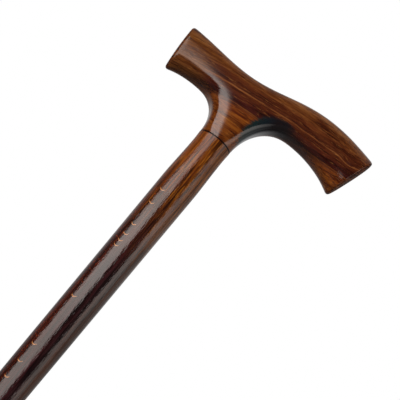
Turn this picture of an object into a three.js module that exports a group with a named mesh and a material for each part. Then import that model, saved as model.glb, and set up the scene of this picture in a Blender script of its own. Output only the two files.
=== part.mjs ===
// T-handle walking stick: a hardwood handle shaped from one block, a turned and tapered hardwood
// shaft, the steel stud bonded inside their joint, and a rubber ferrule with its steel disc.
// Millimetres, +Z up the shaft. The origin is the centre of the ferrule's foot, on the ground.
// +X runs along the handle towards its long arm, the heel. The short arm is the nose.
import * as THREE from "three";
import { mergeVertices } from "three/addons/utils/BufferGeometryUtils.js";

// Shaft. Drops are measured down from the joint with the handle.
const SHAFT_LENGTH = 849;
const FOOT_R = 8;
const FOOT_BEVEL = 1;
const BODY_R = 11.05;
const BODY_DROP = 34;
const WAIST_R = 10.4;
const WAIST_DROP = 6;

// Joint between shaft and handle: both are bored for one threaded stud, set in epoxy.
const JOINT_R = 10.6;
const JOINT_BEVEL = 0.3;
const GLUE_FILM = 0.1;
const STUD_R = 4;
const STUD_LENGTH = 64;
const STUD_BEVEL = 0.8;
const STUD_CLEARANCE = 0.3;
const BORE_END_CLEARANCE = 1;

// Handle outline. Heights are measured up from the joint, reaches out from the shaft's axis.
const NOSE_REACH = 51.3;
const NOSE_TOP = 45.2;
const NOSE_BOTTOM = 16.4;
const NOSE_RAKE = 2; // how far the end's lower corner is set back
const NOSE_ARCH_REACH = 27.5;
const NOSE_ARCH = 20.7;
const SADDLE_REACH = 12; // the low point of the top, on the nose side
const SADDLE = 42.2;
const SADDLE_EASE = 21.5; // how far the top runs on from the saddle before it climbs
const CROWN_REACH = 47; // the high point of the palm rest, on the heel side
const CROWN = 52.95;
const CROWN_EASE = 23; // how far the climb eases off before the crown
const HEEL_REACH = 77.7;
const HEEL_TOP = 50.5;
const HEEL_BOTTOM = 19.8;
const HEEL_RAKE = 9.6;
const HEEL_ARCH_REACH = 33.5;
const HEEL_ARCH = 29.75;
// How far each fillet under the arms pulls along its arm and up its side of the neck.
const NOSE_FILLET = { along: 13.4, up: 9.5 };
const HEEL_FILLET = { along: 17, up: 12.4 };
// The handle is widest along these centre lines, which meet at the crotch and run above the
// middle of each arm, because the underside is rounded more than the top.
const CROTCH = 32;
const NOSE_LIFT = 2.5;
const HEEL_LIFT = 2;

// Handle thickness, as half sizes, and how square its sections are: 2 is an ellipse. The block
// stays nearly flat at the crotch, is rounder at the ends and is round at the joint.
const NOSE_HALF = 9.8;
const NOSE_TAPER = 1.4; // 1 would thin the nose evenly, and more thins it later
const CROTCH_HALF = 12.2;
const CROWN_HALF = 12.2;
const HEEL_HALF = 11;
const CROTCH_SQUARENESS = 5;
const ARM_SQUARENESS = 2.6;
const NECK_SQUARENESS = 2;
const END_ROUND = 1.6;
const END_DOME = 0.5;

// Ferrule: a rubber cup on a broad pad, with grooves above the pad and rings in the tread.
const PAD_R = 15;
const PAD_HEIGHT = 5;
const PAD_BEVEL = 1;
const PAD_FLARE = 0.7;
const TREAD_HUB_R = 4;
const TREAD_GROOVE = 1.8;
const TREAD_RING = 3;
const TREAD_DEPTH = 1.5;
const GROOVE_COUNT = 3;
const GROOVE_PITCH = 4.4;
const GROOVE_FLANK = 1.3;
const GROOVE_FLOOR = 0.7;
const GROOVE_DEPTH = 1.4;
const RING_STEP_IN = 0.9; // each ring between grooves is this much smaller in radius than the last
const CUP_WALL = 2.8;
const LIP_HEIGHT = 4;
const LIP_PROUD = 0.8;
const SOCKET_FLOOR = 10;
const SOCKET_DEPTH = 30;
const SOCKET_CLEARANCE = 0.3;
const MOUTH_BEVEL = 0.9;

// Steel disc between the shaft's foot and the rubber.
const DISC_THICKNESS = 1.5;
const DISC_HOLE_R = 3;
const DISC_GAP = 0.1; // above and below the disc
const DISC_CLEARANCE = 0.4;

// How finely curves are divided.
const ROUND_STEPS = 48;
const SMALL_ROUND_STEPS = 28;
const SWELL_STEPS = 8;
const FLARE_STEPS = 3;
const QUARTER_STEPS = 8; // from the outline of the handle to its centre line
const ARM_STEPS = 14;
const NECK_STEPS = 13;
const RIM_STEPS = 3;
const DOME_SHARES = [0.75, 0.4]; // radii of the rings on a domed end, as shares of the end's own

const HANDLE_WOOD = new THREE.MeshStandardMaterial({ color: 0x6e3c17, roughness: 0.22, metalness: 0 });
const SHAFT_WOOD = new THREE.MeshStandardMaterial({ color: 0x4a2416, roughness: 0.2, metalness: 0 });
const STEEL = new THREE.MeshStandardMaterial({ color: 0xb4b6b8, roughness: 0.35, metalness: 1 });
const RUBBER = new THREE.MeshStandardMaterial({ color: 0x17171a, roughness: 0.8, metalness: 0 });

const footZ = SOCKET_FLOOR + DISC_THICKNESS + 2 * DISC_GAP;
const jointZ = footZ + SHAFT_LENGTH;
const boreR = STUD_R + STUD_CLEARANCE;
const boreDepth = STUD_LENGTH / 2 + BORE_END_CLEARANCE;

const at = (x, z) => new THREE.Vector2(x, z);
const points = (...pairs) => pairs.map(([x, z]) => at(x, z));

// A solid turned round the Z axis from a profile of radii and heights. The profile starts on the
// axis at the bottom and goes round the outside, or closes on itself.
function turned(name, profile, material, steps) {
  const geometry = new THREE.LatheGeometry(profile, steps);
  geometry.rotateX(Math.PI / 2); // the lathe turns about Y
  const mesh = new THREE.Mesh(geometry, material);
  mesh.name = name;
  return mesh;
}

// The shaft tapers from its body to the foot, and draws in to a waist under the joint.
function makeShaft() {
  const top = SHAFT_LENGTH - GLUE_FILM;
  const swellHalf = (BODY_DROP - WAIST_DROP) / 2;
  const swell = new THREE.CubicBezierCurve(
    at(BODY_R, top - BODY_DROP),
    at(BODY_R, top - BODY_DROP + swellHalf),
    at(WAIST_R, top - WAIST_DROP - swellHalf),
    at(WAIST_R, top - WAIST_DROP),
  );
  const flare = new THREE.QuadraticBezierCurve(
    at(WAIST_R, top - WAIST_DROP),
    at(WAIST_R, top - WAIST_DROP / 2),
    at(JOINT_R, top - JOINT_BEVEL),
  );
  const profile = [
    ...points([0, 0], [FOOT_R - FOOT_BEVEL, 0], [FOOT_R, FOOT_BEVEL]),
    ...swell.getPoints(SWELL_STEPS),
    ...flare.getPoints(FLARE_STEPS).slice(1),
    ...points([JOINT_R - JOINT_BEVEL, top], [boreR, top]),
    ...points([boreR, top - boreDepth], [0, top - boreDepth]),
  ];
  const shaft = turned("shaft", profile, SHAFT_WOOD, ROUND_STEPS);
  shaft.position.z = footZ;
  return shaft;
}

function makeStud() {
  const half = STUD_LENGTH / 2;
  const profile = points(
    [0, -half],
    [STUD_R - STUD_BEVEL, -half],
    [STUD_R, STUD_BEVEL - half],
    [STUD_R, half - STUD_BEVEL],
    [STUD_R - STUD_BEVEL, half],
    [0, half],
  );
  const stud = turned("joint_stud", profile, STEEL, SMALL_ROUND_STEPS);
  stud.position.z = jointZ;
  return stud;
}

// The handle's silhouette as three lines, clockwise as seen from the front: along the top from
// nose to heel, back under the heel to the joint, and from the joint out under the nose.
function handleOutline() {
  const noseX = END_ROUND - NOSE_REACH;
  const noseLow = noseX + NOSE_RAKE;
  const noseThird = (NOSE_REACH - SADDLE_REACH) / 3;
  const heelX = HEEL_REACH - END_ROUND;
  const heelLow = heelX - HEEL_RAKE;
  const top = new THREE.Path()
    .moveTo(noseX, NOSE_TOP)
    .bezierCurveTo(
      noseX + noseThird, NOSE_TOP,
      -SADDLE_REACH - noseThird, SADDLE,
      -SADDLE_REACH, SADDLE,
    )
    .bezierCurveTo(
      SADDLE_EASE - SADDLE_REACH, SADDLE,
      CROWN_REACH - CROWN_EASE, CROWN,
      CROWN_REACH, CROWN,
    )
    .quadraticCurveTo((CROWN_REACH + HEEL_REACH) / 2, CROWN, heelX, HEEL_TOP);
  const underHeel = new THREE.Path()
    .moveTo(heelLow, HEEL_BOTTOM)
    .quadraticCurveTo((HEEL_ARCH_REACH + heelLow) / 2, HEEL_ARCH, HEEL_ARCH_REACH, HEEL_ARCH)
    .bezierCurveTo(
      HEEL_ARCH_REACH - HEEL_FILLET.along, HEEL_ARCH,
      JOINT_R, JOINT_BEVEL + HEEL_FILLET.up,
      JOINT_R, JOINT_BEVEL,
    );
  const underNose = new THREE.Path()
    .moveTo(-JOINT_R, JOINT_BEVEL)
    .bezierCurveTo(
      -JOINT_R, JOINT_BEVEL + NOSE_FILLET.up,
      NOSE_FILLET.along - NOSE_ARCH_REACH, NOSE_ARCH,
      -NOSE_ARCH_REACH, NOSE_ARCH,
    )
    .quadraticCurveTo((noseLow - NOSE_ARCH_REACH) / 2, NOSE_ARCH, noseLow, NOSE_BOTTOM);
  return {
    top: top.getSpacedPoints(2 * ARM_STEPS),
    underHeel: underHeel.getSpacedPoints(ARM_STEPS + NECK_STEPS),
    underNose: underNose.getSpacedPoints(NECK_STEPS + ARM_STEPS),
  };
}

// The centre lines of nose, heel and neck, all from the crotch outwards. Each station holds its
// place, half the handle's thickness there, and how square the section is.
function handleStations(noseEnd, heelEnd) {
  const ease = (a, b, t) => THREE.MathUtils.lerp(a, b, THREE.MathUtils.smoothstep(t, 0, 1));
  const crotch = at(0, CROTCH);
  const noseMiddle = at(-NOSE_ARCH_REACH, (SADDLE + NOSE_ARCH) / 2 + NOSE_LIFT);
  const heelMiddle = at(CROWN_REACH, (CROWN + HEEL_ARCH) / 2 + HEEL_LIFT);
  const noseLine = new THREE.SplineCurve([crotch, noseMiddle, noseEnd]);
  const heelLine = new THREE.SplineCurve([crotch, heelMiddle, heelEnd]);
  const neckLine = new THREE.LineCurve(crotch, at(0, JOINT_BEVEL));
  const heelHalf = (x) =>
    x < CROWN_REACH
      ? ease(CROTCH_HALF, CROWN_HALF, x / CROWN_REACH)
      : ease(CROWN_HALF, HEEL_HALF, (x - CROWN_REACH) / (heelEnd.x - CROWN_REACH));
  return {
    nose: noseLine.getSpacedPoints(ARM_STEPS).map((place, i) => ({
      place,
      half: THREE.MathUtils.lerp(CROTCH_HALF, NOSE_HALF, (i / ARM_STEPS) ** NOSE_TAPER),
      squareness: ease(CROTCH_SQUARENESS, ARM_SQUARENESS, i / ARM_STEPS),
    })),
    heel: heelLine.getSpacedPoints(ARM_STEPS).map((place, i) => ({
      place,
      half: heelHalf(place.x),
      squareness: ease(CROTCH_SQUARENESS, ARM_SQUARENESS, i / ARM_STEPS),
    })),
    neck: neckLine.getSpacedPoints(NECK_STEPS).map((place, i) => ({
      place,
      half: ease(CROTCH_HALF, JOINT_R, i / NECK_STEPS),
      squareness: THREE.MathUtils.lerp(CROTCH_SQUARENESS, NECK_SQUARENESS, (i / NECK_STEPS) ** 2),
    })),
  };
}

// A rib of the handle's front skin: from a point of the silhouette up to its station, along a
// quarter of an ellipse or of a squarer curve, with its points at even angles.
function rib(edge, { place, half, squareness }) {
  return Array.from({ length: QUARTER_STEPS + 1 }, (_, k) => {
    const angle = (k / QUARTER_STEPS) * (Math.PI / 2);
    const [across, up] = k === QUARTER_STEPS ? [0, 1] : [Math.cos(angle), Math.sin(angle)];
    const reach = (across ** squareness + up ** squareness) ** (-1 / squareness);
    const flat = place.clone().lerp(edge, reach * across);
    return new THREE.Vector3(flat.x, -half * reach * up, flat.y);
  });
}

const mirrored = (v) => new THREE.Vector3(v.x, -v.y, v.z);

// A closed section of the handle, from two ribs that share a station, and their mirror images.
function section(first, second) {
  const front = [...first, ...second.slice(0, -1).reverse()];
  return [...front, ...front.slice(1, -1).reverse().map(mirrored)];
}

// The rings that finish an arm: a rounded rim, then a face that swells towards its middle.
function endRings(ring, centre, outward) {
  const moved = (inset, share, out) =>
    ring.map((v) => {
      const left = share * (1 - inset / v.distanceTo(centre));
      return centre.clone().lerp(v, left).addScaledVector(outward, out);
    });
  const rim = Array.from({ length: RIM_STEPS }, (_, i) => {
    const angle = ((i + 1) / RIM_STEPS) * (Math.PI / 2);
    return moved(END_ROUND * (1 - Math.cos(angle)), 1, END_ROUND * Math.sin(angle));
  });
  const dome = DOME_SHARES.map((share) =>
    moved(END_ROUND, share, END_ROUND + END_DOME * (1 - share * share)));
  return [ring, ...rim, ...dome];
}

// The rings that finish the neck: its bevelled rim, the flat of the joint and the blind bore.
function neckRings(ring) {
  const circle = (r, z) => ring.map((v) => new THREE.Vector3(v.x, v.y, 0).setLength(r).setZ(z));
  return [
    ring,
    circle(JOINT_R - JOINT_BEVEL, 0),
    circle(boreR, 0),
    circle(boreR, boreDepth),
  ];
}

// The handle is a skin of ribs between its silhouette and the centre lines of its arms and neck,
// with its back the mirror of its front, closed at both ends and at the neck.
function makeHandle() {
  const { top, underHeel, underNose } = handleOutline();
  const noseEnd = top[0].clone().lerp(underNose.at(-1), 0.5);
  const heelEnd = top.at(-1).clone().lerp(underHeel[0], 0.5);
  const { nose, heel, neck } = handleStations(noseEnd, heelEnd);
  const inwards = (stations) => [...stations].reverse();
  const ribs = (edge, stations) => edge.map((e, i) => rib(e, stations[i]));
  const topRibs = ribs(top, [...inwards(nose), ...heel.slice(1)]);
  const heelRibs = ribs(underHeel, [...inwards(heel), ...neck.slice(1)]);
  const noseRibs = ribs(underNose, [...inwards(neck), ...nose.slice(1)]);

  const corners = [];
  const quad = (a, b, c, d) => corners.push(a, b, c, a, c, d);
  for (const rows of [topRibs, heelRibs, noseRibs]) {
    for (let i = 0; i + 1 < rows.length; i += 1) {
      for (let k = 0; k < QUARTER_STEPS; k += 1) {
        const front = [rows[i][k], rows[i][k + 1], rows[i + 1][k + 1], rows[i + 1][k]];
        quad(...front);
        quad(...front.map(mirrored).reverse());
      }
    }
  }
  const close = (rings, tip) => {
    for (let i = 0; i + 1 < rings.length; i += 1) {
      rings[i].forEach((v, k) => {
        const next = (k + 1) % rings[i].length;
        quad(v, rings[i][next], rings[i + 1][next], rings[i + 1][k]);
      });
    }
    const last = rings.at(-1);
    last.forEach((v, k) => corners.push(v, last[(k + 1) % last.length], tip));
  };
  const finishArm = (ring, lower, upper) => {
    const centre = new THREE.Vector3(lower.x + upper.x, 0, lower.y + upper.y).divideScalar(2);
    const outward = new THREE.Vector3(lower.y - upper.y, 0, upper.x - lower.x).normalize();
    const tip = centre.clone().addScaledVector(outward, END_ROUND + END_DOME);
    close(endRings(ring, centre, outward), tip);
  };
  finishArm(section(topRibs[0], noseRibs.at(-1)).reverse(), underNose.at(-1), top[0]);
  finishArm(section(heelRibs[0], topRibs.at(-1)).reverse(), top.at(-1), underHeel[0]);
  const neckRing = section(noseRibs[0], heelRibs.at(-1)).reverse();
  close(neckRings(neckRing), new THREE.Vector3(0, 0, boreDepth));

  const geometry = mergeVertices(new THREE.BufferGeometry().setFromPoints(corners));
  geometry.computeVertexNormals();
  const handle = new THREE.Mesh(geometry, HANDLE_WOOD);
  handle.name = "handle";
  handle.position.z = jointZ;
  return handle;
}

// The tread from its middle to the pad's edge: a flat hub and a flat ring between two grooves.
function ferruleTread() {
  const ringIn = TREAD_HUB_R + TREAD_GROOVE;
  const ringOut = ringIn + TREAD_RING;
  const groove = (inR) =>
    points([inR, 0], [inR, TREAD_DEPTH], [inR + TREAD_GROOVE, TREAD_DEPTH], [inR + TREAD_GROOVE, 0]);
  return [at(0, 0), ...groove(TREAD_HUB_R), ...groove(ringOut)];
}

// The outside from the pad up to the cup's lip. Each groove has a ring or the cup above it.
function ferruleOutside(cupR, topZ) {
  const pad = points([PAD_R - PAD_BEVEL, 0], [PAD_R, PAD_BEVEL], [PAD_R - PAD_FLARE, PAD_HEIGHT]);
  const grooves = Array.from({ length: GROOVE_COUNT }, (_, i) => {
    const low = PAD_HEIGHT + i * GROOVE_PITCH;
    const ringR = PAD_R - (i + 1) * RING_STEP_IN;
    const floorR = ringR - GROOVE_DEPTH;
    const aboveR = i < GROOVE_COUNT - 1 ? ringR : cupR + LIP_PROUD;
    return points(
      [floorR, low + GROOVE_FLANK],
      [floorR, low + GROOVE_FLANK + GROOVE_FLOOR],
      [aboveR, low + 2 * GROOVE_FLANK + GROOVE_FLOOR],
      [aboveR, low + GROOVE_PITCH],
    );
  });
  const lip = points(
    [cupR, topZ - LIP_HEIGHT - LIP_PROUD],
    [cupR + LIP_PROUD, topZ - LIP_HEIGHT],
    [cupR + LIP_PROUD, topZ - LIP_PROUD],
    [cupR, topZ],
  );
  return [...pad, ...grooves.flat(), ...lip];
}

function makeFerrule() {
  const taper = (BODY_R - FOOT_R) / (SHAFT_LENGTH - BODY_DROP);
  const socketR = FOOT_R + SOCKET_DEPTH * taper + SOCKET_CLEARANCE;
  const topZ = SOCKET_FLOOR + SOCKET_DEPTH;
  const profile = [
    ...ferruleTread(),
    ...ferruleOutside(socketR + CUP_WALL, topZ),
    ...points([socketR + MOUTH_BEVEL, topZ], [socketR, topZ - MOUTH_BEVEL]),
    ...points([socketR, SOCKET_FLOOR], [0, SOCKET_FLOOR]),
  ];
  return turned("ferrule", profile, RUBBER, ROUND_STEPS);
}

function makeDisc() {
  const discR = FOOT_R - DISC_CLEARANCE;
  const profile = points(
    [DISC_HOLE_R, 0],
    [discR, 0],
    [discR, DISC_THICKNESS],
    [DISC_HOLE_R, DISC_THICKNESS],
    [DISC_HOLE_R, 0],
  );
  const disc = turned("ferrule_disc", profile, STEEL, SMALL_ROUND_STEPS);
  disc.position.z = SOCKET_FLOOR + DISC_GAP;
  return disc;
}

const stick = new THREE.Group();
stick.name = "t_handle_walking_stick";
stick.add(makeHandle(), makeStud(), makeShaft(), makeFerrule(), makeDisc());

export default stick;
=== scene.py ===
import math

import bmesh
import bpy
from mathutils import Matrix, Vector


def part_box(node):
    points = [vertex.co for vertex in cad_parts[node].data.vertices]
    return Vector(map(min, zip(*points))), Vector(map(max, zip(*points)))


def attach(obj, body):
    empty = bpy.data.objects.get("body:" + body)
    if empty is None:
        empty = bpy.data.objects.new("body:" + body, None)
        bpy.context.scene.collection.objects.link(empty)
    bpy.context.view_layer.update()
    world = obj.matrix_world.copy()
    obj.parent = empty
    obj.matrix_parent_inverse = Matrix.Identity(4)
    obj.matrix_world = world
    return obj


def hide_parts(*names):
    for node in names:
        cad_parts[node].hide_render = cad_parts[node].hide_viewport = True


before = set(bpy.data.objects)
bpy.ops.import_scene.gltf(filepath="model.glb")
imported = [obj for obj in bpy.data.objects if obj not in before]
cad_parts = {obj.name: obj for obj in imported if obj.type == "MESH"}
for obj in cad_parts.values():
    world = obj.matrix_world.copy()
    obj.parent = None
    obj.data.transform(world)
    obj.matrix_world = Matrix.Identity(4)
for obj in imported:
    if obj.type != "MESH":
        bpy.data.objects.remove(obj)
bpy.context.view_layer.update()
bpy.ops.object.select_all(action="DESELECT")
MM = 0.001  # a piece's sizes are in millimetres, and the studio's distances in metres

# The camera stands two metres off with a long lens. It looks up at 18 degrees, and is rolled so
# that the stick runs from the lower left to the upper right.
CAMERA_LENS = 318.3
CAMERA_SENSOR = 36
CAMERA_CLIP = 50
CAMERA_REACH = 2.0
CAMERA_RISE = math.radians(18)
CAMERA_ROLL = math.radians(39.617)
CAMERA_TARGET = Vector((14.35, 9.30, 832.07)) * MM

level = Vector((1, 0, 0))
onward = Vector((0, math.cos(CAMERA_RISE), math.sin(CAMERA_RISE)))
upward = level.cross(onward)
image_right = level * math.cos(CAMERA_ROLL) + upward * math.sin(CAMERA_ROLL)
image_up = upward * math.cos(CAMERA_ROLL) - level * math.sin(CAMERA_ROLL)
bpy.ops.object.camera_add()
camera = bpy.context.object
camera.name = "camera"
camera.matrix_world = (
    Matrix.Translation(CAMERA_TARGET - onward * CAMERA_REACH)
    @ Matrix((image_right, image_up, -onward)).transposed().to_4x4()
)
camera.data.lens = CAMERA_LENS
camera.data.sensor_width = CAMERA_SENSOR
camera.data.clip_end = CAMERA_CLIP
bpy.context.scene.camera = camera

# The shaft is rosewood, turned on a lathe: it tapers down to the foot, swells a little below
# the joint and flares to meet the handle. All but the foot is lacquered. The top is bored for
# the stud, and a film of glue on it fills the joint.
SHAFT_ROUND = 96
FOOT_R = 8
FOOT_BEVEL = 1
BODY_R = 11.05
BODY_DROP = 34
WAIST_R = 10.4
WAIST_DROP = 6
JOINT_R = 10.6
JOINT_BEVEL = 0.3
FLARE_STEPS = 4
SWELL_STEPS = 16
TAPER_STEPS = 8
GLUE_FILM = 0.1
GLUE_LAP = 0.2  # the share of the film that reaches into the handle's end
BORE_R = 4.3
BORE_DEPTH = 33
BARE_FOOT = 27.5
BARE_INSIDE_R = 7.2
WOOD_CREASE = 35

foot_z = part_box("shaft")[0].z / MM
joint_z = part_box("handle")[0].z / MM


def turn(name, profile, steps):
    """Turns a solid about the z axis from a profile of (radius, height) in mm, drawn upwards."""
    first, *others = profile
    bpy.ops.mesh.primitive_circle_add(
        vertices=steps, radius=first[0] * MM, location=(0, 0, first[1] * MM)
    )
    bpy.ops.object.mode_set(mode="EDIT")
    radius, height = first
    for next_radius, next_height in others:
        bpy.ops.mesh.extrude_region_move(
            TRANSFORM_OT_translate={"value": (0, 0, (next_height - height) * MM)}
        )
        grown = next_radius / radius
        bpy.ops.transform.resize(value=(grown, grown, 1), center_override=(0, 0, 0))
        radius, height = next_radius, next_height
    bpy.ops.object.mode_set(mode="OBJECT")
    piece = bpy.context.object
    piece.name = name
    bpy.ops.object.transform_apply(location=True, rotation=True, scale=True)
    return piece


def pick(piece, kind, wanted):
    """In edit mode, selects only the verts, edges or faces whose middle, in mm, is wanted."""
    bpy.ops.mesh.select_mode(type=kind)
    bpy.ops.mesh.select_all(action="DESELECT")
    mesh = bmesh.from_edit_mesh(piece.data)
    for element in {"VERT": mesh.verts, "EDGE": mesh.edges, "FACE": mesh.faces}[kind]:
        corners = [element] if kind == "VERT" else element.verts
        middle = sum((v.co for v in corners), Vector()) / len(corners) / MM
        element.select = bool(wanted(middle, element))
    mesh.select_flush_mode()
    bmesh.update_edit_mesh(piece.data)


def close_rims(piece):
    """Closes every open rim of a turned piece with a face, and turns all faces outwards."""
    bpy.ops.object.mode_set(mode="EDIT")
    pick(piece, "EDGE", lambda middle, edge: edge.is_boundary)
    bpy.ops.mesh.edge_face_add()
    bpy.ops.mesh.select_all(action="SELECT")
    bpy.ops.mesh.normals_make_consistent(inside=False)
    bpy.ops.object.mode_set(mode="OBJECT")


def smooth(piece, degrees):
    """Shades a piece smooth, and keeps edges sharper than the angle crisp."""
    bpy.ops.object.select_all(action="DESELECT")
    piece.select_set(True)
    bpy.context.view_layer.objects.active = piece
    bpy.ops.object.shade_smooth_by_angle(angle=math.radians(degrees))
    piece.select_set(False)


def curve_between(start, end, share):
    """Eases from one radius to another with no kink at either end."""
    return start + (end - start) * share * share * (3 - 2 * share)


body_z = joint_z - BODY_DROP
waist_z = joint_z - WAIST_DROP
top_z = joint_z - GLUE_FILM
glue_z = joint_z + GLUE_LAP * GLUE_FILM
shaft_profile = [(BORE_R, top_z - BORE_DEPTH), (BORE_R, glue_z), (JOINT_R - JOINT_BEVEL, glue_z)]
shaft_profile += [(JOINT_R - JOINT_BEVEL, top_z), (JOINT_R, top_z - JOINT_BEVEL)]
for step in range(1, FLARE_STEPS + 1):
    share = step / FLARE_STEPS
    height = top_z - JOINT_BEVEL + (waist_z - top_z + JOINT_BEVEL) * share
    shaft_profile.append((WAIST_R + (JOINT_R - WAIST_R) * (1 - share) ** 2, height))
for step in range(1, SWELL_STEPS + 1):
    share = step / SWELL_STEPS
    shaft_profile.append(
        (curve_between(WAIST_R, BODY_R, share), waist_z + (body_z - waist_z) * share)
    )
bare_share = (body_z - foot_z - BARE_FOOT) / (body_z - foot_z - FOOT_BEVEL)
for share in [*[step / TAPER_STEPS for step in range(1, TAPER_STEPS)], bare_share, 1]:
    shaft_profile.append(
        (BODY_R + (FOOT_R - BODY_R) * share, body_z + (foot_z + FOOT_BEVEL - body_z) * share)
    )
shaft_profile.append((FOOT_R - FOOT_BEVEL, foot_z))
shaft = turn("shaft_turned", shaft_profile[::-1], SHAFT_ROUND)
close_rims(shaft)
smooth(shaft, WOOD_CREASE)


def linear(code):
    """Turns an sRGB hex colour into the linear colour that a shader takes."""
    parts = [int(code[i : i + 2], 16) / 255 for i in (1, 3, 5)]
    return (*[p / 12.92 if p <= 0.04045 else ((p + 0.055) / 1.055) ** 2.4 for p in parts], 1)


def add(tree, kind, inputs=None, **settings):
    """Adds a node with its settings, and sets or links its inputs."""
    made = tree.nodes.new(kind)
    for name, value in settings.items():
        setattr(made, name, value)
    for socket, value in (inputs or {}).items():
        if isinstance(value, bpy.types.NodeSocket):
            tree.links.new(value, made.inputs[socket])
        else:
            made.inputs[socket].default_value = value
    return made


def paint(ramp, *stops):
    """Gives a colour ramp its stops, each a place and a hex colour or a grey level."""
    elements = ramp.color_ramp.elements
    while len(elements) < len(stops):
        elements.new(0.5)
    for element, (place, colour) in zip(elements, stops):
        element.position = place
        element.color = linear(colour) if isinstance(colour, str) else (colour,) * 3 + (1,)


def new_material(name):
    """Gives a new material, its node tree and its surface shader."""
    material = bpy.data.materials.new(name)
    material.use_nodes = True
    tree = material.node_tree
    return material, tree, tree.nodes["Principled BSDF"]


def place_in_mm(tree, **mapping):
    """Gives the place on an object in mm, moved or turned as the mapping says."""
    where = add(tree, "ShaderNodeTexCoord").outputs["Object"]
    inputs = {"Vector": where, "Scale": (1000, 1000, 1000), **mapping}
    return add(tree, "ShaderNodeMapping", inputs).outputs["Vector"]


# Rosewood, turned and lacquered to a high gloss. The growth layers run down the shaft, so the
# eye gets long streaks, brown with golden fibres near the joint and almost black below, with
# short red flecks on the left, open pores, and small gold crescents, each a curl of a layer with
# a painted glint on it along the left edge of the lacquer's highlight.
FIGURE_HALF = 12
DRIFT = 5
DARK_SLANT = 1.8
DARK_DRIFT = 40
DARK_BELOW = -85
BROWN_ABOVE = 5
FLECK_LEAN = math.radians(35)
FLECK_START_X = -4.5
FLECK_FULL_X = -7
CURL_GLINT_X = -5.7
CURL_HALF = 1.7
CURL_FULL = 0.6
CURL_BEND = 0.5
CURL_HALF_HEIGHT = 0.3
CURL_GLINT_DROPS = [44.5, 54.5, 70.7, 78, 82.8, 86.5, 124.6, 160, 172.5, 184, 233, 251, 302, 377, 391]
STAIN_EDGE = 0.6
STAIN_FULL = 0.35
LACQUER_LENGTH = 300

shaft_wood, tree, surface = new_material("rosewood_turned_lacquered")
millimetres = place_in_mm(tree, Location=(0, 0, -joint_z))
axes = add(tree, "ShaderNodeSeparateXYZ", {"Vector": millimetres})
height = axes.outputs["Z"]


def grain(tree, place, lengths, detail):
    """Gives noise whose grains are so many mm long along each axis, as wood's figure is."""
    scale = [1 / length for length in lengths]
    stretched = add(tree, "ShaderNodeMapping", {"Vector": place, "Scale": scale})
    inputs = {"Vector": stretched.outputs["Vector"], "Scale": 1.0, "Detail": detail}
    return add(tree, "ShaderNodeTexNoise", {**inputs, "Roughness": 0.6}).outputs["Fac"]


def marks(tree, place, lengths, detail, low, high, most):
    """Gives separate marks from such noise: none where it is low, and fullest where it is high."""
    noise = grain(tree, place, lengths, detail)
    inputs = {"Value": noise, "From Min": low, "From Max": high, "To Max": most}
    made = add(tree, "ShaderNodeMapRange", inputs, interpolation_type="SMOOTHSTEP")
    return made.outputs["Result"]


drift = grain(tree, millimetres, (14, 14, 80), 3.0)
layer = add(
    tree, "ShaderNodeMath", {0: drift, 1: DRIFT, 2: axes.outputs["X"]}, operation="MULTIPLY_ADD"
).outputs["Value"]
layer_share = add(
    tree,
    "ShaderNodeMapRange",
    {
        "Value": layer,
        "From Min": DRIFT / 2 - FIGURE_HALF,
        "From Max": DRIFT / 2 + FIGURE_HALF,
    },
).outputs["Result"]
near_joint = add(tree, "ShaderNodeValToRGB", {"Fac": layer_share})
paint(
    near_joint,
    (0.00, "#44220c"), (0.10, "#6c3a10"), (0.22, "#683810"), (0.36, "#743c0c"),
    (0.46, "#562a0e"), (0.52, "#6e3c0e"), (0.58, "#4a200c"), (0.64, "#70400e"),
    (0.72, "#54290e"), (0.80, "#6e4214"), (0.90, "#6a4018"), (1.00, "#4a2a12"),
)
lower_down = add(tree, "ShaderNodeValToRGB", {"Fac": layer_share})
paint(
    lower_down,
    (0.00, "#2c100c"), (0.14, "#3c160c"), (0.24, "#38140c"), (0.34, "#34140e"),
    (0.48, "#361418"), (0.56, "#2a1216"), (0.66, "#281a1e"), (0.76, "#3c1e10"),
    (0.88, "#40240f"), (1.00, "#28140c"),
)

# The dark wood reaches higher up the shaft on the left than on the right.
slanted = add(
    tree,
    "ShaderNodeMath",
    {0: axes.outputs["X"], 1: DARK_SLANT, 2: height},
    operation="MULTIPLY_ADD",
).outputs["Value"]
darkening = add(
    tree, "ShaderNodeMath", {0: drift, 1: DARK_DRIFT, 2: slanted}, operation="MULTIPLY_ADD"
).outputs["Value"]
fade = add(
    tree,
    "ShaderNodeMapRange",
    {"Value": darkening, "From Min": DARK_BELOW, "From Max": BROWN_ABOVE},
    interpolation_type="SMOOTHSTEP",
).outputs["Result"]
layers = add(
    tree,
    "ShaderNodeMix",
    {"Factor": fade, "A": lower_down.outputs["Color"], "B": near_joint.outputs["Color"]},
    data_type="RGBA",
).outputs["Result"]
streak = grain(tree, millimetres, (1.3, 1.3, 30), 5.0)
streak_shade = add(tree, "ShaderNodeValToRGB", {"Fac": streak})
paint(streak_shade, (0.36, "#40302a"), (0.46, "#a08c80"), (0.55, "#f4e4d4"), (0.66, "#ffffff"))
streaked = add(
    tree,
    "ShaderNodeMix",
    {"Factor": 0.9, "A": layers, "B": streak_shade.outputs["Color"]},
    data_type="RGBA",
    blend_type="MULTIPLY",
).outputs["Result"]

# Golden fibres show only in the brown wood near the joint.
pale_share = marks(tree, millimetres, (0.9, 0.9, 15), 3.0, 0.52, 0.66, 0.5)
pale_near_joint = add(
    tree, "ShaderNodeMath", {0: pale_share, 1: fade}, operation="MULTIPLY"
).outputs["Value"]
gilded = add(
    tree,
    "ShaderNodeMix",
    {"Factor": pale_near_joint, "A": streaked, "B": linear("#9a5c16")},
    data_type="RGBA",
).outputs["Result"]

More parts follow.
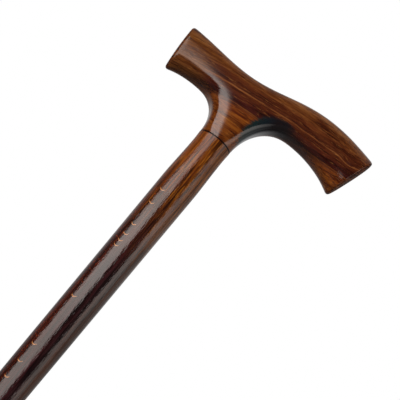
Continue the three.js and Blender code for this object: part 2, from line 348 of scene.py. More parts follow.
# The flecks are the ends of rays in the wood. They lean, and show only where the cut crosses
# the layers, on the left.
leaning = add(
    tree, "ShaderNodeMapping", {"Vector": millimetres, "Rotation": (0, FLECK_LEAN, 0)}
).outputs["Vector"]
fleck_share = marks(tree, leaning, (0.8, 1.5, 2.0), 2.0, 0.56, 0.70, 0.45)
fleck_side = add(
    tree,
    "ShaderNodeMapRange",
    {"Value": axes.outputs["X"], "From Min": FLECK_START_X, "From Max": FLECK_FULL_X},
    interpolation_type="SMOOTHSTEP",
).outputs["Result"]
flecks = add(
    tree, "ShaderNodeMath", {0: fleck_share, 1: fleck_side}, operation="MULTIPLY"
).outputs["Value"]
flecked = add(
    tree,
    "ShaderNodeMix",
    {"Factor": flecks, "A": gilded, "B": linear("#863412")},
    data_type="RGBA",
).outputs["Result"]

# Each crescent is a short arc, open upwards, on the left of the shaft's front: a curl of a
# layer, painted pale gold as a glint where the softbox's highlight on the lacquer begins.
off_curl = add(
    tree, "ShaderNodeMath", {0: axes.outputs["X"], 1: -CURL_GLINT_X}, operation="ADD"
).outputs["Value"]
squared = add(
    tree, "ShaderNodeMath", {0: off_curl, 1: off_curl}, operation="MULTIPLY"
).outputs["Value"]
arc_height = add(
    tree, "ShaderNodeMath", {0: squared, 1: -CURL_BEND, 2: height}, operation="MULTIPLY_ADD"
).outputs["Value"]
# The crescents below are painted glints, not lit by any lamp.
curl_glints = 0.0
for drop in CURL_GLINT_DROPS:
    on_arc = add(
        tree,
        "ShaderNodeMath",
        {0: arc_height, 1: -drop, 2: CURL_HALF_HEIGHT},
        operation="COMPARE",
    ).outputs["Value"]
    curl_glints = add(tree, "ShaderNodeMath", {0: curl_glints, 1: on_arc}, operation="MAXIMUM").outputs["Value"]
curl_end = add(
    tree,
    "ShaderNodeMapRange",
    {"Value": squared, "From Min": CURL_HALF**2, "From Max": (CURL_FULL * CURL_HALF) ** 2},
    interpolation_type="SMOOTHSTEP",
).outputs["Result"]
in_front = add(
    tree, "ShaderNodeMath", {0: axes.outputs["Y"], 1: 0.0}, operation="LESS_THAN"
).outputs["Value"]
front_curl_glints = add(
    tree, "ShaderNodeMath", {0: curl_glints, 1: in_front}, operation="MULTIPLY"
).outputs["Value"]
curl_glint_share = add(
    tree, "ShaderNodeMath", {0: front_curl_glints, 1: curl_end}, operation="MULTIPLY"
).outputs["Value"]
curled_and_glinted = add(
    tree,
    "ShaderNodeMix",
    {"Factor": curl_glint_share, "A": flecked, "B": linear("#a87242")},
    data_type="RGBA",
).outputs["Result"]

# Pores are cut open along the shaft. They are drawn about three times as wide as real ones, to
# show.
pore_share = marks(tree, millimetres, (0.5, 0.5, 6), 1.0, 0.60, 0.72, 0.6)
pored = add(
    tree,
    "ShaderNodeMix",
    {"Factor": pore_share, "A": curled_and_glinted, "B": linear("#1c0c0a")},
    data_type="RGBA",
).outputs["Result"]


def lacquer_wood(tree, surface, colour, stain, figure, pores):
    """Gives wood its glue stain, its sunken pores and the clear lacquer over it."""
    stained = add(
        tree,
        "ShaderNodeMix",
        {"Factor": stain, "A": colour, "B": linear("#160403")},
        data_type="RGBA",
    ).outputs["Result"]
    tree.links.new(stained, surface.inputs["Base Color"])
    dullness = add(
        tree, "ShaderNodeMapRange", {"Value": figure, "To Min": 0.36, "To Max": 0.6}
    ).outputs["Result"]
    tree.links.new(dullness, surface.inputs["Roughness"])
    sunken = add(
        tree, "ShaderNodeMath", {0: pores, 1: -1.0}, operation="MULTIPLY"
    ).outputs["Value"]
    relief = add(
        tree, "ShaderNodeMath", {0: figure, 1: 0.6, 2: sunken}, operation="MULTIPLY_ADD"
    ).outputs["Value"]
    bump = add(
        tree, "ShaderNodeBump", {"Height": relief, "Distance": 0.03 * MM, "Strength": 0.6}
    ).outputs["Normal"]
    tree.links.new(bump, surface.inputs["Normal"])
    surface.inputs["IOR"].default_value = 1.5
    surface.inputs["Specular IOR Level"].default_value = 0.0
    surface.inputs["Coat Roughness"].default_value = 0.12
    surface.inputs["Coat IOR"].default_value = 1.5


# Glue darkens the wood close beside the joint.
stain = add(
    tree,
    "ShaderNodeMapRange",
    {"Value": height, "From Min": -STAIN_EDGE, "From Max": -STAIN_FULL},
).outputs["Result"]
lacquer_wood(tree, surface, pored, stain, streak, pore_share)

# The lacquer was brushed on along the shaft. It lies in fine ripples over the streaks, so
# the edges of a reflection are ragged, and it is thinner near the joint and far down.
ripple = grain(tree, millimetres, (1.2, 1.2, 5), 2.0)
lacquer_relief = add(
    tree, "ShaderNodeMath", {0: ripple, 1: 2.5, 2: streak}, operation="MULTIPLY_ADD"
).outputs["Value"]
lacquer_bump = add(
    tree, "ShaderNodeBump", {"Height": lacquer_relief, "Distance": 0.11 * MM, "Strength": 0.5}
).outputs["Normal"]
tree.links.new(lacquer_bump, surface.inputs["Coat Normal"])
thickness = add(
    tree,
    "ShaderNodeMapRange",
    {"Value": height, "From Min": -LACQUER_LENGTH, "From Max": 0.0},
).outputs["Result"]
lacquer = add(tree, "ShaderNodeValToRGB", {"Fac": thickness})
paint(lacquer, (0.0, 0.8), (0.5, 0.75), (0.66, 1.0), (0.78, 1.0), (0.95, 0.62))
tree.links.new(lacquer.outputs["Color"], surface.inputs["Coat Weight"])

# Below the lacquer the foot is bare, rubbed wood: paler, dry and dull, with marks round it
# where the ferrule grips.
bare_wood, tree, surface = new_material("rosewood_turned_bare")
millimetres = place_in_mm(tree)
streak = grain(tree, millimetres, (1.1, 1.1, 24), 5.0)
bare_shade = add(tree, "ShaderNodeValToRGB", {"Fac": streak})
paint(bare_shade, (0.36, "#4c3022"), (0.48, "#74503a"), (0.62, "#8c6548"))
rubbed = grain(tree, millimetres, (12, 12, 0.8), 3.0)
rub_share = add(
    tree,
    "ShaderNodeMapRange",
    {"Value": rubbed, "From Min": 0.55, "From Max": 0.68, "To Max": 0.5},
    interpolation_type="SMOOTHSTEP",
).outputs["Result"]
wood_colour = add(
    tree,
    "ShaderNodeMix",
    {"Factor": rub_share, "A": bare_shade.outputs["Color"], "B": linear("#2e241e")},
    data_type="RGBA",
).outputs["Result"]
tree.links.new(wood_colour, surface.inputs["Base Color"])
dullness = add(
    tree, "ShaderNodeMapRange", {"Value": rubbed, "To Min": 0.75, "To Max": 0.5}
).outputs["Result"]
tree.links.new(dullness, surface.inputs["Roughness"])
bump = add(
    tree, "ShaderNodeBump", {"Height": streak, "Distance": 0.08 * MM, "Strength": 0.7}
).outputs["Normal"]
tree.links.new(bump, surface.inputs["Normal"])
surface.inputs["IOR"].default_value = 1.5
shaft.data.materials.append(shaft_wood)
shaft.data.materials.append(bare_wood)
for face in shaft.data.polygons:
    inside = math.hypot(face.center.x, face.center.y) < BARE_INSIDE_R * MM
    if face.center.z < (foot_z + BARE_FOOT) * MM or inside:
        face.material_index = 1
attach(shaft, "stick")
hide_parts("shaft")

# The handle is carved from one block of the same wood with the grain along the arms, sanded
# to a smooth saddle and palm rest, and lacquered. Rings of a simple cage are laid along the
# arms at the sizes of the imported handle, and the cage is subdivided and drawn onto its form.
RING_CORNERS = 12
PROUD = 1.08  # the cage stands outside the form by more than subdivision draws it in
ARM_RINGS = [
    (-49.7, -47.7), (-47.5, -45.6), (-41, -40), (-33, -33), (-24, -27.5),
    (-11, -21.5), (1, None), (13, 27),
    (25, 36), (38, 44), (50, 51), (60, 57), (69, 62.5), (74, 65), (76.1, 66.5),
]
CROTCH_LOW = 17
UNDERSIDE_LEFT = -22
UNDERSIDE_RIGHT = 27
UNDERSIDE_TOP = 27
UNDERSIDE_SLOPE = -0.2
NECK_HEIGHTS = [14.5, 9, 4.5, 1.5, 0.3]
END_REACH = 8
END_ROUND = 1.6
END_DOME = 0.5
END_FACE_INSET = 4
END_FACE_START = 0.7
BORE_MARGIN = 0.1
OUTSIDE = 0.1  # in metres, how far off a ray starts beside the handle or under it
OVERHEAD = 1  # in metres, the height that a ray down onto the handle starts from
WELD = 0.001 * MM

cad_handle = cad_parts["handle"]
aside = 0.02 * MM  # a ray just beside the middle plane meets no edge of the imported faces


def reach(start, direction):
    """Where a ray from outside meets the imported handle, in metres."""
    return cad_handle.ray_cast(Vector(start), Vector(direction))[1]


def lay_ring(middle, half_length, tilt):
    """In edit mode, adds a ring of the cage: as wide as the handle there, tipped about y."""
    half_width = abs(reach((middle.x, -OUTSIDE, middle.z), (0, 1, 0)).y) * PROUD
    bpy.ops.mesh.primitive_circle_add(
        vertices=RING_CORNERS, radius=half_width, location=(middle.x, 0, middle.z)
    )
    stretch = half_length * PROUD / half_width
    bpy.ops.transform.resize(value=(stretch, 1, 1), center_override=middle)
    bpy.ops.transform.rotate(value=-tilt, orient_axis="Y", center_override=middle)


bpy.ops.object.select_all(action="DESELECT")
bpy.ops.mesh.primitive_circle_add(vertices=RING_CORNERS)
handle = bpy.context.object
handle.name = "handle_carved"
bpy.ops.object.mode_set(mode="EDIT")
bpy.ops.mesh.delete(type="VERT")
spokes = []
for top_x, low_x in ARM_RINGS:
    top = reach((top_x * MM, aside, OVERHEAD), (0, 0, -1))
    if low_x is None:
        low = Vector((top_x, 0, joint_z + CROTCH_LOW)) * MM
    else:
        low = reach((low_x * MM, aside, joint_z * MM - OUTSIDE), (0, 0, 1))
    spoke = low - top
    spokes.append((top, spoke))
    lay_ring((top + low) / 2, spoke.length / 2, math.atan2(-spoke.z, spoke.x))
bpy.ops.mesh.select_all(action="SELECT")
bpy.ops.mesh.bridge_edge_loops()

# The underside opens between the arms, and the neck's rings are bridged to that opening.
pick(
    handle,
    "FACE",
    lambda middle, face: UNDERSIDE_LEFT < middle.x < UNDERSIDE_RIGHT
    and middle.z < joint_z + UNDERSIDE_TOP
    and face.normal.z < UNDERSIDE_SLOPE,
)
bpy.ops.mesh.delete(type="FACE")
ends = []
for top, spoke in (spokes[0], spokes[-1]):
    middle = top + spoke / 2
    outward = Vector((-spoke.z, 0, spoke.x)).normalized() * math.copysign(1, middle.x)
    ends.append((middle, outward))
    end_middle = middle + outward * (END_ROUND + END_DOME) * MM
    rounding = 1 - 2 * END_ROUND * MM / spoke.length
    pick(
        handle,
        "EDGE",
        lambda place, edge: edge.is_boundary and abs(place.x - middle.x / MM) < END_REACH,
    )
    bpy.ops.mesh.edge_face_add()
    bpy.ops.mesh.extrude_region_move(TRANSFORM_OT_translate={"value": end_middle - middle})
    bpy.ops.transform.resize(value=(rounding,) * 3, center_override=end_middle)
    bpy.ops.mesh.inset(thickness=END_FACE_INSET * MM)
    bpy.ops.transform.translate(value=outward * END_DOME * MM)
for height in NECK_HEIGHTS:
    z = (joint_z + height) * MM
    left = reach((-OUTSIDE, aside, z), (1, 0, 0)).x
    right = reach((OUTSIDE, aside, z), (-1, 0, 0)).x
    lay_ring(Vector(((left + right) / 2, 0, z)), (right - left) / 2, 0)
pick(handle, "EDGE", lambda middle, edge: edge.is_boundary or edge.is_wire)
bpy.ops.mesh.bridge_edge_loops()
bpy.ops.mesh.select_all(action="SELECT")
bpy.ops.mesh.normals_make_consistent(inside=False)
bpy.ops.object.mode_set(mode="OBJECT")

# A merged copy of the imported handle, smoothed, is the form that the cage is drawn onto.
form = cad_handle.copy()
form.data = cad_handle.data.copy()
bpy.context.collection.objects.link(form)
bpy.context.view_layer.objects.active = form
bpy.ops.object.select_all(action="DESELECT")
form.select_set(True)
bpy.ops.object.mode_set(mode="EDIT")
bpy.ops.mesh.select_all(action="SELECT")
bpy.ops.mesh.remove_doubles(threshold=WELD)
bpy.ops.mesh.tris_convert_to_quads()
pick(
    form,
    "FACE",
    lambda middle, face: middle.z < joint_z + JOINT_BEVEL
    or middle.z < joint_z + BORE_DEPTH + BORE_MARGIN
    and math.hypot(middle.x, middle.y) < BORE_R + BORE_MARGIN,
)
bpy.ops.mesh.delete(type="FACE")
bpy.ops.object.mode_set(mode="OBJECT")


def finish_with(piece, kind, **settings):
    """Adds a modifier with its settings and applies it."""
    bpy.context.view_layer.objects.active = piece
    modifier = piece.modifiers.new(kind.lower(), kind)
    for name, value in settings.items():
        setattr(modifier, name, value)
    bpy.ops.object.modifier_apply(modifier=modifier.name)


finish_with(form, "SUBSURF", levels=2, render_levels=2)
finish_with(handle, "SUBSURF", levels=2, render_levels=2)
finish_with(handle, "SHRINKWRAP", target=form, wrap_method="NEAREST_SURFACEPOINT")
finish_with(handle, "SUBSURF", levels=1, render_levels=1)
bpy.data.objects.remove(form)

# The neck ends in a small bevel and a flat, with a blind bore for the stud.
bpy.context.view_layer.objects.active = handle
bpy.ops.object.select_all(action="DESELECT")
handle.select_set(True)
bpy.ops.object.mode_set(mode="EDIT")
pick(handle, "EDGE", lambda middle, edge: edge.is_boundary)
joint_middle = Vector((0, 0, joint_z * MM))
radius = JOINT_R
neck_end = [(JOINT_R - JOINT_BEVEL, -JOINT_BEVEL), (BORE_R, 0), (BORE_R, BORE_DEPTH)]
for next_radius, rise in neck_end:
    bpy.ops.mesh.extrude_region_move(TRANSFORM_OT_translate={"value": (0, 0, rise * MM)})
    shrunk = next_radius / radius
    bpy.ops.transform.resize(value=(shrunk, shrunk, 1), center_override=joint_middle)
    radius = next_radius
bpy.ops.mesh.edge_face_add()
bpy.ops.mesh.select_all(action="SELECT")
bpy.ops.mesh.normals_make_consistent(inside=False)
bpy.ops.object.mode_set(mode="OBJECT")
smooth(handle, WOOD_CREASE)

# The same rosewood with its grain along the arms, under a clear glossy lacquer. The eye gets
# brown and maroon layers that follow the sweep of the arms, thin gold lines between them, a knot
# at the heel, fine fibres, some pale ones partly painted glints, and open pores. The top layers
# are painted paler as a sheen, and the layers under the heel and the left crotch darker as
# shade. The nose is more evenly brown and less glossy.
PLANK_TILT = math.radians(18)  # the growth layers lie tilted in the block
SWEEP_RISE = 0.125
SWEEP_BEND = -0.0005
LAYER_TOP = 50
WAVE = 3
NOSE_START_X = -24
NOSE_FULL_X = -34
NOSE_GLOSS_X = -20
KNOT = (66, 39.5)
KNOT_HALF = (5, 2.4)
KNOT_LIFT = 1.8
CROOK = (26.6, 16.4)
CROOK_R = 18.8
CROOK_RAGGED = 5
CROOK_SOFT = 1.3
CROOK_FADES_X = (36, 25)
CROOK_FADES_Y = (8, 1)
CROOK_TINTS_X = (7, 20)

handle_wood, tree, surface = new_material("rosewood_carved_lacquered")
millimetres = place_in_mm(tree, Location=(0, 0, -joint_z))
axes = add(tree, "ShaderNodeSeparateXYZ", {"Vector": millimetres})
height = axes.outputs["Z"]
plank = add(
    tree, "ShaderNodeMapping", {"Vector": millimetres, "Rotation": (-PLANK_TILT, 0, 0)}
).outputs["Vector"]
plank_axes = add(tree, "ShaderNodeSeparateXYZ", {"Vector": plank})
along = plank_axes.outputs["X"]
slope = add(
    tree,
    "ShaderNodeMath",
    {0: along, 1: SWEEP_BEND, 2: SWEEP_RISE},
    operation="MULTIPLY_ADD",
).outputs["Value"]
sweep = add(tree, "ShaderNodeMath", {0: along, 1: slope}, operation="MULTIPLY").outputs["Value"]
straight_layer = add(
    tree, "ShaderNodeMath", {0: plank_axes.outputs["Z"], 1: sweep}, operation="SUBTRACT"
).outputs["Value"]
knot_place = add(
    tree,
    "ShaderNodeMapping",
    {
        "Vector": plank,
        "Location": (-KNOT[0] / KNOT_HALF[0], 0, -KNOT[1] / KNOT_HALF[1]),
        "Scale": (1 / KNOT_HALF[0], 0, 1 / KNOT_HALF[1]),
    },
).outputs["Vector"]
off_knot = add(
    tree, "ShaderNodeVectorMath", {0: knot_place}, operation="LENGTH"
).outputs["Value"]
knot_lift = add(
    tree,
    "ShaderNodeMapRange",
    {"Value": off_knot, "From Min": 1.6, "From Max": 0.0, "To Max": KNOT_LIFT},
    interpolation_type="SMOOTHSTEP",
).outputs["Result"]
wave = grain(tree, plank, (38, 9, 9), 3.0)
wave_lift = add(
    tree, "ShaderNodeMath", {0: wave, 1: WAVE, 2: knot_lift}, operation="MULTIPLY_ADD"
).outputs["Value"]
layer = add(
    tree, "ShaderNodeMath", {0: straight_layer, 1: wave_lift}, operation="ADD"
).outputs["Value"]
layer_share = add(
    tree,
    "ShaderNodeMapRange",
    {"Value": layer, "From Min": WAVE / 2, "From Max": WAVE / 2 + LAYER_TOP},
).outputs["Result"]
layers = add(tree, "ShaderNodeValToRGB", {"Fac": layer_share})
# In these colours the top layers, along the top of the arms and the heel, are painted paler as a
# sheen, and the layers along the undersides of the heel and the left crotch are painted darker as
# shade.
layer_colours_sheen_and_shade = [
    (0, "#66360e"), (12, "#703c0e"), (14.6, "#743f10"), (15.1, "#905a1c"), (15.7, "#6c3b0e"),
    (20, "#7c4412"), (23, "#743c12"), (24.6, "#48200e"), (25, "#6c3e1a"), (25.5, "#36120c"),
    (27.5, "#3a130d"), (30, "#461c0d"), (33.1, "#4e240d"), (33.6, "#80502a"), (34.1, "#441e0d"),
    (36.5, "#50260f"), (38, "#542910"), (39.2, "#5e3214"), (39.6, "#744824"), (40, "#5c3112"),
    (42, "#5e3515"), (44, "#724822"), (50, "#764c26"),
]
paint(layers, *[(place / LAYER_TOP, colour) for place, colour in layer_colours_sheen_and_shade])
grain_place = add(
    tree,
    "ShaderNodeCombineXYZ",
    {"X": along, "Y": plank_axes.outputs["Y"], "Z": layer},
).outputs["Vector"]
nose_share = add(
    tree,
    "ShaderNodeMapRange",
    {"Value": along, "From Min": NOSE_START_X, "From Max": NOSE_FULL_X, "To Max": 0.75},
    interpolation_type="SMOOTHSTEP",
).outputs["Result"]
browned = add(
    tree,
    "ShaderNodeMix",
    {"Factor": nose_share, "A": layers.outputs["Color"], "B": linear("#68401c")},
    data_type="RGBA",
).outputs["Result"]
smoke = grain(tree, grain_place, (30, 8, 3.5), 3.0)
smoke_shade = add(tree, "ShaderNodeValToRGB", {"Fac": smoke})
paint(smoke_shade, (0.42, "#ffffff"), (0.54, "#e8dcd8"), (0.66, "#a07c74"))
smoked = add(
    tree,
    "ShaderNodeMix",
    {"Factor": 1.0, "A": browned, "B": smoke_shade.outputs["Color"]},
    data_type="RGBA",
    blend_type="MULTIPLY",
).outputs["Result"]
fibre = grain(tree, grain_place, (16, 1.3, 0.9), 5.0)
fibre_shade = add(tree, "ShaderNodeValToRGB", {"Fac": fibre})
paint(fibre_shade, (0.32, "#8a7670"), (0.46, "#dcd0ca"), (0.58, "#ffffff"))
fibred = add(
    tree,
    "ShaderNodeMix",
    {"Factor": 1.0, "A": smoked, "B": fibre_shade.outputs["Color"]},
    data_type="RGBA",
    blend_type="MULTIPLY",
).outputs["Result"]
# The pale fibre marks are partly the wood's own and partly painted glints of the grain under the
# lacquer.
pale_share = marks(tree, grain_place, (7, 1.0, 0.7), 3.0, 0.56, 0.74, 0.4)
paled_and_glinted = add(
    tree,
    "ShaderNodeMix",
    {"Factor": pale_share, "A": fibred, "B": linear("#9c6632")},
    data_type="RGBA",
).outputs["Result"]
knot_eye = add(
    tree,
    "ShaderNodeMapRange",
    {"Value": off_knot, "From Min": 0.5, "From Max": 0.15, "To Max": 0.7},
    interpolation_type="SMOOTHSTEP",
).outputs["Result"]
knotted = add(
    tree,
    "ShaderNodeMix",
    {"Factor": knot_eye, "A": paled_and_glinted, "B": linear("#3a1a12")},
    data_type="RGBA",
).outputs["Result"]

# A blue-black patch fills the heel's crook. It is partly a dark streak in the wood and partly
# painted shade where the crook faces away from the softbox, with a painted cool reflection in its
# tint. Its edge is ragged along the fibres, and it fades towards the heel and before it reaches
# the back.
crook_place = add(
    tree,
    "ShaderNodeMapping",
    {"Vector": plank, "Location": (-CROOK[0], 0, -CROOK[1]), "Scale": (1, 0, 1)},
).outputs["Vector"]
off_crook = add(
    tree, "ShaderNodeVectorMath", {0: crook_place}, operation="LENGTH"
).outputs["Value"]
ragged = add(
    tree, "ShaderNodeMath", {0: fibre, 1: CROOK_RAGGED, 2: off_crook}, operation="MULTIPLY_ADD"
).outputs["Value"]
crook_edge = CROOK_R + CROOK_RAGGED / 2
in_crook = add(
    tree,
    "ShaderNodeMapRange",
    {"Value": ragged, "From Min": crook_edge + CROOK_SOFT, "From Max": crook_edge - CROOK_SOFT},
    interpolation_type="SMOOTHSTEP",
).outputs["Result"]
crook_end = add(
    tree,
    "ShaderNodeMapRange",
    {"Value": along, "From Min": CROOK_FADES_X[0], "From Max": CROOK_FADES_X[1]},
    interpolation_type="SMOOTHSTEP",
).outputs["Result"]
crook_front = add(
    tree,
    "ShaderNodeMapRange",
    {"Value": axes.outputs["Y"], "From Min": CROOK_FADES_Y[0], "From Max": CROOK_FADES_Y[1]},
    interpolation_type="SMOOTHSTEP",
).outputs["Result"]
crook_side = add(
    tree, "ShaderNodeMath", {0: crook_end, 1: crook_front}, operation="MULTIPLY"
).outputs["Value"]
crook_share = add(
    tree, "ShaderNodeMath", {0: in_crook, 1: crook_side}, operation="MULTIPLY"
).outputs["Value"]
crook_across = add(
    tree,
    "ShaderNodeMapRange",
    {"Value": along, "From Min": CROOK_TINTS_X[0], "From Max": CROOK_TINTS_X[1]},
).outputs["Result"]
# The patch's tints: near-black for the painted shade, with the painted blue-green reflection across
# the middle.
crook_stain_and_shade = add(tree, "ShaderNodeValToRGB", {"Fac": crook_across})
paint(crook_stain_and_shade, (0.0, "#1c1e1c"), (0.3, "#102022"), (0.65, "#0e161c"), (1.0, "#140f12"))
crooked = add(
    tree,
    "ShaderNodeMix",
    {"Factor": crook_share, "A": knotted, "B": crook_stain_and_shade.outputs["Color"]},
    data_type="RGBA",
).outputs["Result"]

# The pores are drawn about three times as wide as real ones here too.
pore_share = marks(tree, grain_place, (5, 0.6, 0.5), 1.0, 0.60, 0.72, 0.6)
pored = add(
    tree,
    "ShaderNodeMix",
    {"Factor": pore_share, "A": crooked, "B": linear("#1e0c08")},
    data_type="RGBA",
).outputs["Result"]
stain = add(
    tree,
    "ShaderNodeMapRange",
    {"Value": height, "From Min": STAIN_EDGE, "From Max": STAIN_FULL},
).outputs["Result"]
lacquer_wood(tree, surface, pored, stain, fibre, pore_share)
lacquer_bump = add(
    tree, "ShaderNodeBump", {"Height": fibre, "Distance": 0.1 * MM, "Strength": 0.5}
).outputs["Normal"]
tree.links.new(lacquer_bump, surface.inputs["Coat Normal"])
lacquer = add(
    tree,
    "ShaderNodeMapRange",
    {"Value": along, "From Min": NOSE_FULL_X, "From Max": NOSE_GLOSS_X, "To Min": 0.6},
    interpolation_type="SMOOTHSTEP",
).outputs["Result"]
tree.links.new(lacquer, surface.inputs["Coat Weight"])

# The end grain of both arms drinks the lacquer, so it is darker and dull. The eye gets the
# growth layers end on, as bands across the arm, and pores as dots, drawn larger than real ones.
end_wood, tree, surface = new_material("rosewood_end_grain")
plank = place_in_mm(tree, Rotation=(-PLANK_TILT, 0, 0))
band = grain(tree, plank, (60, 9, 1.6), 4.0)
band_shade = add(tree, "ShaderNodeValToRGB", {"Fac": band})
paint(band_shade, (0.36, "#241009"), (0.5, "#462310"), (0.62, "#603518"))
pore_share = marks(tree, plank, (6, 0.5, 0.5), 1.0, 0.62, 0.70, 1.0)
wood_colour = add(
    tree,
    "ShaderNodeMix",
    {"Factor": pore_share, "A": band_shade.outputs["Color"], "B": linear("#120706")},
    data_type="RGBA",
).outputs["Result"]
tree.links.new(wood_colour, surface.inputs["Base Color"])
dullness = add(
    tree, "ShaderNodeMapRange", {"Value": band, "To Min": 0.55, "To Max": 0.75}
).outputs["Result"]
tree.links.new(dullness, surface.inputs["Roughness"])
bump = add(
    tree, "ShaderNodeBump", {"Height": pore_share, "Distance": -0.05 * MM, "Strength": 0.6}
).outputs["Normal"]
tree.links.new(bump, surface.inputs["Normal"])
surface.inputs["IOR"].default_value = 1.5
surface.inputs["Specular IOR Level"].default_value = 0.06
handle.data.materials.append(handle_wood)
handle.data.materials.append(end_wood)
for face in handle.data.polygons:
    if any((face.center - middle).dot(outward) > END_FACE_START * MM for middle, outward in ends):
        face.material_index = 1
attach(handle, "stick")
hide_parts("handle")

# A length of M8 steel rod, threaded from end to end, is glued into the bores of the shaft and
# the handle and holds the joint.
STUD_R = 4
STUD_LENGTH = 64
STUD_END = 0.9  # the share of its radius that the cut end of the stud is chamfered to
THREAD_PITCH = 1.25
THREAD_DEPTH = 0.65
THREAD_FLANK = 0.5
THREAD_CREST = 0.15
THREAD_ROOT = 0.1
THREAD_SPARE = 4
THREAD_ROUND = 24
STEEL_CREASE = 30

stud_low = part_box("joint_stud")[0].z / MM
bpy.ops.object.select_all(action="DESELECT")
bpy.ops.mesh.primitive_circle_add(
    vertices=3,
    radius=MM,
    location=((STUD_R - THREAD_DEPTH) * MM, 0, (stud_low - 2 * THREAD_PITCH) * MM),
)
stud = bpy.context.object
stud.name = "joint_stud_threaded"
bpy.ops.object.transform_apply(location=True, rotation=True, scale=True)
bpy.ops.object.mode_set(mode="EDIT")
bpy.ops.mesh.select_mode(type="VERT")
bpy.ops.mesh.select_all(action="SELECT")
bpy.ops.mesh.merge(type="CENTER")
for out, rise in (
    (THREAD_DEPTH, THREAD_FLANK),
    (0, THREAD_CREST),
    (-THREAD_DEPTH, THREAD_FLANK),
    (0, THREAD_ROOT),
):
    bpy.ops.mesh.extrude_vertices_move(
        TRANSFORM_OT_translate={"value": (out * MM, 0, rise * MM)}
    )
bpy.ops.object.mode_set(mode="OBJECT")
finish_with(
    stud,
    "SCREW",
    axis="Z",
    screw_offset=THREAD_PITCH * MM,
    iterations=round(STUD_LENGTH / THREAD_PITCH) + THREAD_SPARE,
    steps=THREAD_ROUND,
    render_steps=THREAD_ROUND,
    use_merge_vertices=True,
)
bpy.ops.object.mode_set(mode="EDIT")
bpy.ops.mesh.select_all(action="SELECT")
bpy.ops.mesh.remove_doubles(threshold=WELD)
for end_z, side in ((stud_low, -1), (stud_low + STUD_LENGTH, 1)):
    bpy.ops.mesh.select_all(action="SELECT")
    bpy.ops.mesh.bisect(
        plane_co=(0, 0, end_z * MM),
        plane_no=(0, 0, side),
        use_fill=True,
        clear_outer=True,
        threshold=WELD,
    )
    bpy.ops.transform.resize(value=(STUD_END, STUD_END, 1), center_override=(0, 0, end_z * MM))
bpy.ops.mesh.select_all(action="SELECT")
bpy.ops.mesh.normals_make_consistent(inside=False)
bpy.ops.object.mode_set(mode="OBJECT")
smooth(stud, STEEL_CREASE)

# Steel with a thin bright zinc plating: a pale, slightly blue metal with a soft uneven shine.
steel, tree, surface = new_material("steel_zinc_plated")
where = add(tree, "ShaderNodeTexCoord").outputs["Object"]
spangle = add(
    tree, "ShaderNodeTexNoise", {"Vector": where, "Scale": 700.0, "Detail": 3.0}
).outputs["Fac"]
plating = add(tree, "ShaderNodeValToRGB", {"Fac": spangle})
paint(plating, (0.35, "#9a9da0"), (0.65, "#c2c4c6"))
tree.links.new(plating.outputs["Color"], surface.inputs["Base Color"])
dullness = add(
    tree, "ShaderNodeMapRange", {"Value": spangle, "To Min": 0.25, "To Max": 0.42}
).outputs["Result"]
tree.links.new(dullness, surface.inputs["Roughness"])
surface.inputs["Metallic"].default_value = 1.0
stud.data.materials.append(steel)
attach(stud, "stick")
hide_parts("joint_stud")

# A stamped steel disc lies loose on the floor of the ferrule's socket and keeps the foot of
# the shaft from punching through the rubber.
DISC_R = 7.6
DISC_HOLE_R = 3
DISC_THICKNESS = 1.5
DISC_ROLL = 0.35
DISC_ROLL_CUT = 0.3  # the share of the roll that is cut off halfway round it
DISC_BURR = 0.1
DISC_HOLE_BEVEL = 0.2
DISC_ROUND = 64

disc_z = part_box("ferrule_disc")[0].z / MM
disc_top = disc_z + DISC_THICKNESS
disc_profile = [
    (DISC_HOLE_R, disc_z),
    (DISC_R - DISC_BURR, disc_z),
    (DISC_R, disc_z + DISC_BURR),
    (DISC_R, disc_top - DISC_ROLL),
    (DISC_R - DISC_ROLL_CUT * DISC_ROLL, disc_top - DISC_ROLL_CUT * DISC_ROLL),
    (DISC_R - DISC_ROLL, disc_top),
    (DISC_HOLE_R + DISC_HOLE_BEVEL, disc_top),
    (DISC_HOLE_R, disc_top - DISC_HOLE_BEVEL),
    (DISC_HOLE_R, disc_z),
]
disc = turn("ferrule_disc_stamped", disc_profile, DISC_ROUND)
bpy.ops.object.mode_set(mode="EDIT")
bpy.ops.mesh.select_all(action="SELECT")
bpy.ops.mesh.remove_doubles(threshold=WELD)
bpy.ops.mesh.normals_make_consistent(inside=False)
bpy.ops.object.mode_set(mode="OBJECT")
smooth(disc, STEEL_CREASE)
disc.data.materials.append(steel)
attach(disc, "ferrule_cup")
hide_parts("ferrule_disc")

# The ferrule is a cup of black rubber, moulded in one piece and pushed onto the foot. Its
# flared pad has a ringed tread, three grooves above the pad let it give, and a lip
# strengthens the mouth.
PAD_R = 15
PAD_HEIGHT = 5
PAD_BEVEL = 1
PAD_FLARE = 0.7
TREAD_HUB_R = 4
TREAD_GROOVE = 1.8
TREAD_RING = 3
TREAD_DEPTH = 1.5
GROOVE_COUNT = 3
GROOVE_PITCH = 4.4
GROOVE_FLANK = 1.3
GROOVE_FLOOR = 0.7
GROOVE_DEPTH = 1.4
RING_STEP_IN = 0.9
CUP_WALL = 2.8
LIP_HEIGHT = 4
LIP_PROUD = 0.8
SOCKET_FLOOR = 10
SOCKET_DEPTH = 30
SOCKET_CLEARANCE = 0.3
MOUTH_BEVEL = 0.9
EDGE_ROUND = 0.3
EDGE_SHARP = 20
EDGE_STEPS = 3
MIDDLE_R = 0.5
FERRULE_ROUND = 96
RUBBER_CREASE = 40

